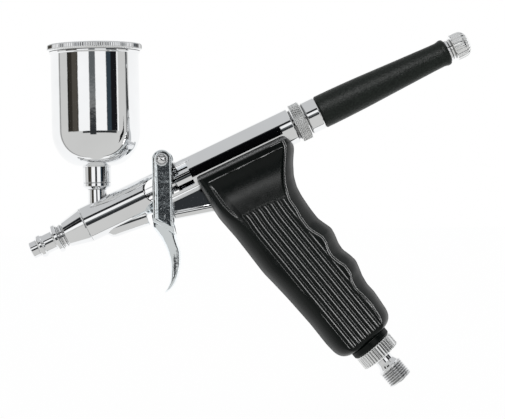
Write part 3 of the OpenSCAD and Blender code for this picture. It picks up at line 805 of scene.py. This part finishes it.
# ------------------------------------------------------------------ grip
# Grip frame: w runs down the grip, z rearwards. Tables hold (w, z) unless noted.
FRONT_LINE = smooth_table([
    (-6, -10.3), (0.8, -10.6), (7.5, -11.6), (11.2, -12.3), (16.7, -13.0), (26, -12.8),
    (33.4, -13.1), (42.6, -13.5), (48.2, -13.1), (55.6, -12.7), (68.5, -12.4), (77.8, -12.7),
    (80.5, -12.5), (86.4, -12.0)], 500, 3.0)
REAR_LINE = smooth_table([
    (-6, 25.6), (9, 25.9), (12.8, 25.8), (14.5, 25.0), (18.2, 21.4), (22.3, 18.3), (26, 16.6),
    (29.7, 15.8), (35.2, 15.2), (40, 15.0), (42.5, 15.6), (45.8, 16.5), (48.5, 16.0),
    (51.9, 14.9), (54.8, 14.6), (57.5, 15.3), (60.8, 15.75), (63.5, 15.0), (66.7, 13.9),
    (70.4, 13.3), (74.1, 13.5), (78, 13.1), (81.5, 12.7), (86.4, 12.2)], 500, 1.6)
FACE_FRONT = smooth_table([  # front edge of the side face
    (-6, -8.3), (5, -8.8), (14, -9.4), (18.6, -9.0), (22.6, -8.1), (28, -7.5), (36, -7.9),
    (44, -8.5), (50, -7.9), (56, -7.2), (64, -7.1), (72, -7.6), (80, -8.0), (86.4, -7.6)],
    500, 2.5)
FACE_REAR = smooth_table([  # rear edge of the side face
    (-6, 23.5), (9, 23.7), (12.0, 23.0), (15.6, 19.5), (18.6, 16.7), (22.3, 13.9), (26, 12.1),
    (27.8, 11.4), (32.6, 11.0), (35.2, 10.3), (40, 10.0), (42.6, 10.6), (45.8, 11.8),
    (48.5, 11.5), (50.4, 10.5), (53.4, 9.9), (56.5, 10.4), (59.3, 11.3), (63, 11.0), (65.2, 9.6),
    (68.5, 8.9), (72.2, 9.4), (76, 9.6), (81.5, 8.9), (86.4, 8.3)], 500, 1.4)
HALF_WIDTH = smooth_table([  # w, half width in y
    (-6, 9.5), (6, 9.6), (14, 9.9), (25, 10.4), (45, 10.95), (60, 10.8), (75, 10.2),
    (86.4, 9.8)], 400, 4.0)

GRIP_ANGLE = math.radians(75.5)  # between the grip and the barrel
SIN_GRIP, COS_GRIP = math.sin(GRIP_ANGLE), math.cos(GRIP_ANGLE)
TOP_DROP, TOP_ROUND = 3.6, 0.30  # top face below the barrel's axis, and its edge rounding
LEVEL_RUN = 32.0  # the rows turn from along the barrel to across the grip over this
GRIP_END, END_ROUND_START = 86.3, 80.8
END_CENTRE_Z = 0.4
RIBS = [8.85, 6.45, 4.1, 1.75, -0.6, -2.95, -5.35]  # z of each crest
RIB_HEIGHT = 0.25
# mesh columns around each rib crest, and before the rear edge of the face
RIB_COLUMNS = [-1.76, -1.66, -1.56, -1.46, -1.38, -1.3, -1.2, -1.12, -1.03, -0.94, -0.78, -0.62,
               -0.45, -0.28, -0.1, 0.0, 0.08, 0.16, 0.24, 0.32, 0.40, 0.48, 0.55]
EDGE_COLUMNS = [-1.22, -1.06, -0.92, -0.82, -0.74, -0.66, -0.58, -0.50, -0.43, -0.36, -0.29,
                -0.22, -0.14, -0.07, 0.0]
EDGE_BAND, MIN_COLUMN_GAP = 1.4, 0.002
SCOOP_LEAD, SCOOP_DEPTH, SCOOP_SIDE = 2.4, 1.25, 1.3  # start below the top, depth, side fade
LIP_HALF, LIP_HEIGHT = 0.42, 0.24  # raised line along the start of the scoop
RIM_INSET, RIM_SPREAD, RIM_HEIGHT = 0.35, 0.28, 0.22  # raised rim at the face's rear edge


def table_at(table, w):
    return float(np.interp(w, *table))


def top_w(z):
    """Where the top face crosses the given z."""
    return (TOP_DROP + z * COS_GRIP) / SIN_GRIP


def row_w(station, z):
    """w of a row's point: slanted with the top face at first, square to the grip further down."""
    return station + top_w(z) * (1 - min(1.0, station / LEVEL_RUN))


def outline_z(table, station):
    """Where a slanted row meets an outline, found by repetition."""
    z = table_at(table, station)
    for _ in range(8):
        z = table_at(table, row_w(station, z))
    return z


def smooth_step(a, b, v):
    t = clamp((v - a) / (b - a))
    return t * t * (3 - 2 * t)


def rib_start(z):
    v = max(0.0, z - RIBS[-1])
    return 20.3 + 0.2 * v + 0.006 * v * v


def scoop_end(z):
    return rib_start(z) + 0.7 + 1.3 * max(0.0, -5.6 - z)


def rib_drift(w):
    """How far the ribs shift in z as they run down the grip."""
    return 0.45 * (1 - clamp((w - 24.0) / 9.0)) ** 2 - 0.0125 * (w - 40.0)


def rib_relief(w, z, drift):
    """0 to 1: each rib's crest with a shallow fillet in the groove before it."""
    height = 0.0
    ends = smooth_step(83.6, 85.0, w)
    for rib_z in RIBS:
        d = z - (rib_z + drift)
        if -1.78 < d < 0.57:
            start = rib_start(z)
            shown = smooth_step(start, start + 2.4, w) * (1 - ends)
            crest = smooth_step(-0.80, -0.08, d) * (1 - smooth_step(0.0, 0.55, d))
            fillet = smooth_step(-1.76, -1.42, d) * (1 - smooth_step(-1.32, -0.94, d))
            height = max(height, (crest + 0.57 * fillet) * shown)
    return height


def side_columns(z0, z1, drift):
    """z of the mesh columns across the side face: they run along the ribs."""
    ribbed = sorted(rib_z + drift + d for rib_z in RIBS for d in RIB_COLUMNS)
    z2 = z1 - EDGE_BAND
    columns = list(np.linspace(z0, max(ribbed[0], z0 + 0.2), 56)[:-1]) + ribbed
    columns += list(np.linspace(min(ribbed[-1], z2), z2, 12)[1:])
    last = len(columns) - 1
    columns = [min(max(z, z0 + i * MIN_COLUMN_GAP), z2 - (last - i) * MIN_COLUMN_GAP)
               for i, z in enumerate(columns)]
    return columns + [z1 + d for d in EDGE_COLUMNS]


def bezier(p0, p1, p2, p3, count):
    """Points (y, z) on a cubic, without its start."""
    out = []
    for i in range(1, count + 1):
        t = i / count
        weights = ((1 - t) ** 3, 3 * t * (1 - t) ** 2, 3 * t * t * (1 - t), t ** 3)
        out.append(tuple(sum(w * p[axis] for w, p in zip(weights, (p0, p1, p2, p3)))
                         for axis in (0, 1)))
    return out


def edge_curve(sign, half_width, face_z, middle_z, radius, turn):
    """From the edge of the side face round to the middle plane, and where the face ends."""
    z0 = face_z - sign * radius * math.sin(turn) * 0.5
    arc = [(half_width - radius * (1 - math.cos(turn * i / 9)),
            z0 + sign * radius * math.sin(turn * i / 9)) for i in range(1, 10)]
    y, z = arc[-1]
    run = 0.62 * abs(middle_z - z)
    leave = (y - run * math.tan(turn), z + sign * run)
    return z0, arc + bezier((y, z), leave, (half_width * 0.36, middle_z), (0, middle_z), 20)


def grip_relief(y, w, z, half_width, z0, z1, drift):
    """The distance from the middle plane with the scoop, ribs and rims worked in."""
    rise = -w * SIN_GRIP + z * COS_GRIP + TOP_DROP + TOP_ROUND
    if rise > 0:
        y -= 0.25 * (rise / TOP_ROUND) ** 2 * min(1.0, y / 6.0)
    inside = smooth_step(z0, z0 + SCOOP_SIDE, z) * (1 - smooth_step(z1 - SCOOP_SIDE, z1, z))
    if inside > 0:
        lead = top_w(z) + SCOOP_LEAD
        u = (w - lead) / (scoop_end(z) - lead)
        if 0 < u < 1:
            y -= SCOOP_DEPTH * math.sin(math.pi * u ** 0.85) * inside
        from_lip = abs(w - lead)
        if from_lip < LIP_HALF:
            y += LIP_HEIGHT * math.cos(from_lip / LIP_HALF * math.pi / 2) ** 2 * inside
    if z0 < z < z1:
        y += RIB_HEIGHT * rib_relief(w, z, drift)
    if y > half_width * 0.8:
        rim = math.exp(-((z - (z1 - RIM_INSET)) / RIM_SPREAD) ** 2)
        y += RIM_HEIGHT * rim * smooth_step(4.0, 8.0, w) * (1 - smooth_step(82, 85, w))
    return y


def grip_row(station):
    lines = [outline_z(t, station) for t in (FRONT_LINE, REAR_LINE, FACE_FRONT, FACE_REAR)]
    # rounded lower end
    q = max(0.0, (station - END_ROUND_START) / (GRIP_END - END_ROUND_START))
    closing = 1 - math.sqrt(max(0.0, 1 - q ** 2.6))
    shrink = 1 - 0.36 * closing
    front, rear, face_front, face_rear = (END_CENTRE_Z + (z - END_CENTRE_Z) * shrink
                                          for z in lines)
    half_width = table_at(HALF_WIDTH, station) * (1 - 0.30 * closing)
    drift = rib_drift(max(station, 20.0))
    z1, rear_curve = edge_curve(1, half_width, face_rear, rear, 1.0, math.radians(50))
    z0, front_curve = edge_curve(-1, half_width, face_front, front, 1.5, math.radians(44))
    side = [(half_width, z) for z in side_columns(z0, z1, drift)]
    half = front_curve[::-1] + side + rear_curve  # front middle to rear middle
    row = []
    for y, z in [(-y, z) for y, z in half] + half[-2:0:-1]:
        w = row_w(station, z)
        reach = abs(y)
        if reach > 0.5:
            reach = grip_relief(reach, w, z, half_width, z0, z1, drift)
        row.append((w, math.copysign(reach, y), z))
    return row


stations = list(np.linspace(0, 82.0, 290)) + list(np.linspace(82.2, GRIP_END, 36))
grip_ob = finish_piece("grip", loft([grip_row(s) for s in stations]), grip_mat,
                       GRIP, sharp=40.0)


# ------------------------------------------------------------------ floor
def build_floor():
    """A pale floor, nearly white to the camera and grey to other rays."""
    lowest = float(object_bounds()[0][2])
    bm = bmesh.new()
    bmesh.ops.create_grid(bm, x_segments=1, y_segments=1, size=6.0)
    floor = new_object("floor", bm)
    floor.location = (0, 0, lowest - 0.012)
    material = bpy.data.materials.new("floor_pale")
    material.use_nodes = True
    tree = material.node_tree
    tree.nodes.clear()
    matt = add_node(tree, "BsdfDiffuse", {"Color": (0.9, 0.9, 0.9, 1)})
    white = add_node(tree, "Emission", {"Color": (1, 1, 1, 1), "Strength": 1.0})
    grey = add_node(tree, "Emission", {"Color": (0.56, 0.565, 0.57, 1)})
    seen = add_node(tree, "MixShader", {0: 0.96, 1: matt.outputs[0], 2: white.outputs[0]})
    is_camera = add_node(tree, "LightPath").outputs["Is Camera Ray"]
    mix = add_node(tree, "MixShader", {0: is_camera, 1: grey.outputs[0], 2: seen.outputs[0]})
    add_node(tree, "OutputMaterial", {"Surface": mix.outputs[0]})
    floor.data.materials.append(material)
    floor.visible_glossy = False


build_floor()

# ------------------------------------------------------------------ world
WHITE = (1, 1, 1)
ALL_ROUND = (-400, 400)
# left, right, bottom, top, colour, softness: degrees from behind the camera; later ones cover
CARDS = [
    (*ALL_ROUND, 23.5, 35.3, (0.016, 0.017, 0.02), 1.5),
    (*ALL_ROUND, 36.5, 100, (0.585, 0.59, 0.595), 3.0),
    (-70, -41, -3, 9, (0.030, 0.027, 0.022), 0.8),
    (-58, -43, -3, 8, (0.075, 0.068, 0.057), 2.5),
    (-72, -69, -3, 9, (0.004, 0.004, 0.004), 0.8),
    (-50, -30, 9, 30, (0.012, 0.012, 0.013), 1.5),
    (-40, -11, -3, 12, WHITE, 0.8),
    (-29, -11, 8, 22.5, WHITE, 1.2),
    (-10.5, 5.5, -13, 3.0, (0.028, 0.031, 0.034), 0.8),
    (-10.5, 5.5, 3.0, 9.0, (0.115, 0.125, 0.13), 0.9),
    (5.5, 34, -3.5, 22.5, WHITE, 0.9),
    (-11, 5.5, 9.5, 22.5, (0.96, 0.96, 0.96), 1.2),
    (34, 63, -3, 31, (0.010, 0.010, 0.012), 0.9),
    (34, 46, -3, 9, (0.032, 0.048, 0.062), 1.4),
    (62.5, 66.5, -3, 31, WHITE, 0.8),
    (-30, 60, -8.5, -3, (0.03, 0.032, 0.034), 0.8),
    (101, 400, -78, 36, WHITE, 2.0),
    (-400, -104, -78, 36, WHITE, 2.0),
    (91, 97, -78, 36, (0.07, 0.075, 0.08), 1.5),
    (-102, -98, -78, 36, (0.28, 0.28, 0.28), 1.2),
]


def band(tree, value, start, end, soft):
    """1 between start and end, with soft edges."""
    rising = map_range(tree, value, start - soft, start + soft, kind="SMOOTHSTEP")
    falling = map_range(tree, value, end - soft, end + soft, to=(1.0, 0.0), kind="SMOOTHSTEP")
    return math_node(tree, "MULTIPLY", rising, falling)


def card_color(tree):
    """The studio cards over a grey surround."""
    direction = add_node(tree, "TexCoord").outputs["Generated"]
    x, y, z = add_node(tree, "SeparateXYZ", {0: direction}).outputs
    to_degrees = 180 / math.pi
    azimuth = math_node(tree, "ARCTAN2", x, math_node(tree, "MULTIPLY", y, -1.0))
    azimuth = math_node(tree, "MULTIPLY", azimuth, to_degrees)
    elevation = math_node(tree, "MULTIPLY", math_node(tree, "ARCSINE", z), to_degrees)
    surround = add_node(tree, "RGB")
    surround.outputs[0].default_value = (0.63, 0.627, 0.615, 1)
    color = surround.outputs[0]
    for left, right, bottom, top, card, soft in CARDS:
        mask = band(tree, elevation, bottom, top, soft)
        if (left, right) != ALL_ROUND:
            mask = math_node(tree, "MULTIPLY", mask, band(tree, azimuth, left, right, soft))
        inputs = {"Fac": mask, "Color1": color, "Color2": (*card, 1)}
        color = add_node(tree, "MixRGB", inputs).outputs[0]
    return color


def build_world():
    """White to the camera, soft white to matt surfaces, studio cards to shiny ones."""
    world = bpy.data.worlds.new("studio")
    scene.world = world
    world.use_nodes = True
    tree = world.node_tree
    tree.nodes.clear()
    cards, white, soft = (add_node(tree, "Background", {"Color": color}).outputs[0] for color in
                          (card_color(tree), (1, 1, 1, 1), (0.95, 0.96, 0.97, 1)))
    rays = add_node(tree, "LightPath").outputs
    lit = add_node(tree, "MixShader", {0: rays["Is Glossy Ray"], 1: soft, 2: cards})
    seen = add_node(tree, "MixShader", {0: rays["Is Camera Ray"], 1: lit.outputs[0], 2: white})
    add_node(tree, "OutputWorld", {"Surface": seen.outputs[0]})
    world.cycles.sampling_method = "NONE"


build_world()


# ------------------------------------------------------------------ flag and lamps
def build_flag():
    """A dark card close to the rear of the barrel, seen only in reflections."""
    corners = ((65.5, -7.3), (103.0, -7.3), (103.0, 9.6), (65.5, 9.6))
    bm = bmesh.new()
    bm.faces.new([bm.verts.new(BARREL @ Vector((x, -20.0, z))) for x, z in corners])
    flag = new_object("flag", bm)
    material, _, shader = new_material("flag_black")
    shader["Base Color"].default_value = (0.004, 0.004, 0.005, 1)
    shader["Specular IOR Level"].default_value = 0.0
    flag.data.materials.append(material)
    flag.visible_camera = False
    flag.visible_diffuse = False
    flag.visible_shadow = False


def lit_collection(name, *obs):
    collection = bpy.data.collections.new(name)
    for ob in obs:
        collection.objects.link(ob)
    return collection


def lamp(name, receivers, direction, along, size, watts):
    """An area lamp 0.5 m out in a direction, its first side along `along`, for some pieces only."""
    light = bpy.data.lights.new(name, "AREA")
    light.shape = "RECTANGLE"
    light.size, light.size_y = size
    light.energy = watts
    ob = bpy.data.objects.new(name, light)
    scene.collection.objects.link(ob)
    z_axis = Vector(direction).normalized()
    x_axis = Vector(along)
    x_axis = (x_axis - z_axis * x_axis.dot(z_axis)).normalized()
    matrix = Matrix((x_axis, z_axis.cross(x_axis), z_axis)).transposed().to_4x4()
    matrix.translation = Vector((-0.045, 0, 0.045)) + 0.5 * z_axis
    ob.matrix_world = matrix
    ob.light_linking.receiver_collection = receivers
    ob.visible_diffuse = False


build_flag()
lit_grip = lit_collection("lit_grip", grip_ob)
lit_sleeves = lit_collection("lit_sleeves", handle_ob, spacer_ob)
down_grip, along_barrel = GRIP.col[0].xyz, BARREL.col[0].xyz
lamp("key", lit_grip, (0.55, -0.45, 0.70), down_grip, size=(0.60, 0.15), watts=8.0)
lamp("side", lit_grip, (0.864, -0.5, -0.045), (0, 0, 1), size=(0.40, 0.16), watts=7.0)
lamp("top_strip", lit_grip, (-0.36, -0.50, 0.79), along_barrel, size=(0.30, 0.12), watts=4.5)
lamp("scoop", lit_grip, (-0.05, -0.95, 0.31), along_barrel, size=(0.30, 0.08), watts=0.5)
lamp("soft_top", lit_sleeves, (-0.05, -0.86, 0.52), along_barrel, size=(0.34, 0.12), watts=1.4)

# ------------------------------------------------------------------ camera
CAMERA_DISTANCE, VIEW_WIDTH = 680.0, 186.9  # mm; the width is seen at the middle plane
CAMERA_RIGHT, CAMERA_UP = 0.08203, 0.01367  # metres from the tip
CAMERA_ROLL = -1.15  # degrees

camera_data = bpy.data.cameras.new("camera")
camera = bpy.data.objects.new("camera", camera_data)
scene.collection.objects.link(camera)
camera_data.sensor_width = 36.0
camera_data.lens = 36.0 * CAMERA_DISTANCE / VIEW_WIDTH
camera_data.clip_start = 0.01
camera_data.clip_end = 50.0
camera_place = (tip.x + CAMERA_RIGHT, -CAMERA_DISTANCE * MM, tip.z + CAMERA_UP)
camera.matrix_world = (Matrix.Translation(camera_place)
                       @ Matrix.Rotation(math.pi / 2, 4, "X")
                       @ Matrix.Rotation(math.radians(CAMERA_ROLL), 4, "Z"))
scene.camera = camera
view = scene.view_settings
view.view_transform = "Standard"
view.look = "None"
view.exposure = 0.0
view.gamma = 1.0
